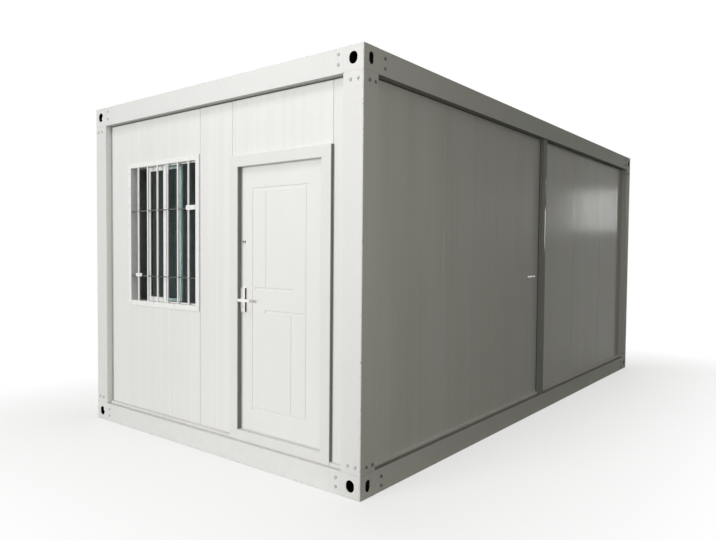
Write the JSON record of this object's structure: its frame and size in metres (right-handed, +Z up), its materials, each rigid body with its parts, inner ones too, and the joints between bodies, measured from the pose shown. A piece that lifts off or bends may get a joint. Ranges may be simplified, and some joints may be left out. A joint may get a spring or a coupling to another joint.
{
  "type": "portable site cabin",
  "caption": "Flat-roofed site cabin: steel frame with slotted corner castings, recessed ribbed wall panels, a barred sliding window and an inward-opening pressed door with a lever handle.",
  "frame": {"origin": "middle of the footprint, on the ground plane under the corner castings", "axes": "+Z up, -Y is the front wall with the door and window, +Y runs back along the long sides, +X is to the right seen from the front"},
  "size_m": [3, 6, 2.8],
  "materials": {
    "frame_paint": "satin white paint",
    "panel_paint": "satin coated sheet",
    "galvanised": "galvanised",
    "deck_board": "sheet floor on board",
    "white_plastic": "gloss",
    "window_glass": "clear",
    "bar_paint": "gloss white paint",
    "hardware": "brushed"
  },
  "bodies": {
    "cabin": {"bottom_casting_front_left": "frame_paint", "bottom_casting_front_right": "frame_paint", "bottom_casting_back_left": "frame_paint", "bottom_casting_back_right": "frame_paint", "top_casting_front_left": "frame_paint", "top_casting_front_right": "frame_paint", "top_casting_back_left": "frame_paint", "top_casting_back_right": "frame_paint", "corner_post_front_left": "frame_paint", "corner_post_front_right": "frame_paint", "corner_post_back_left": "frame_paint", "corner_post_back_right": "frame_paint", "bottom_rail_front": "frame_paint", "bottom_rail_right": "frame_paint", "bottom_rail_back": "frame_paint", "bottom_rail_left": "frame_paint", "top_rail_front": "frame_paint", "top_rail_right": "frame_paint", "top_rail_back": "frame_paint", "top_rail_left": "frame_paint", "mid_posts": "frame_paint", "floor_joists": "galvanised", "floor_deck": "deck_board", "ceiling_lining": "panel_paint", "roof_sheet": "galvanised", "front_window_panel": "panel_paint", "front_middle_panel": "panel_paint", "front_door_head_panel": "panel_paint", "front_end_panel": "panel_paint", "right_wall_panels": "panel_paint", "back_wall_panels": "panel_paint", "left_wall_panels": "panel_paint", "sill_trims": "frame_paint", "window_frame": "white_plastic", "window_sashes": "white_plastic", "window_glass": "window_glass", "window_grille": "bar_paint", "door_frame": "frame_paint", "frame_hinge_halves": "hardware"},
    "door": {"door_leaf": "panel_paint", "leaf_hinge_halves": "hardware", "door_lock_plates": "hardware"},
    "lever": {"door_levers": "hardware"}
  },
  "joints": [
    {"name": "door_swing", "type": "hinge", "parent": "cabin", "child": "door", "pos_m": [1.1535, -2.8745, 1.189], "axis": [0, 0, -1], "range_deg": [0, 90]},
    {"name": "lever_turn", "type": "hinge", "parent": "door", "child": "lever", "pos_m": [0.38, -2.9065, 1.183], "axis": [0, 1, 0], "range_deg": [0, 40], "stiffness_Nm_per_rad": 1.5, "springref_deg": -20.05}
  ]
}
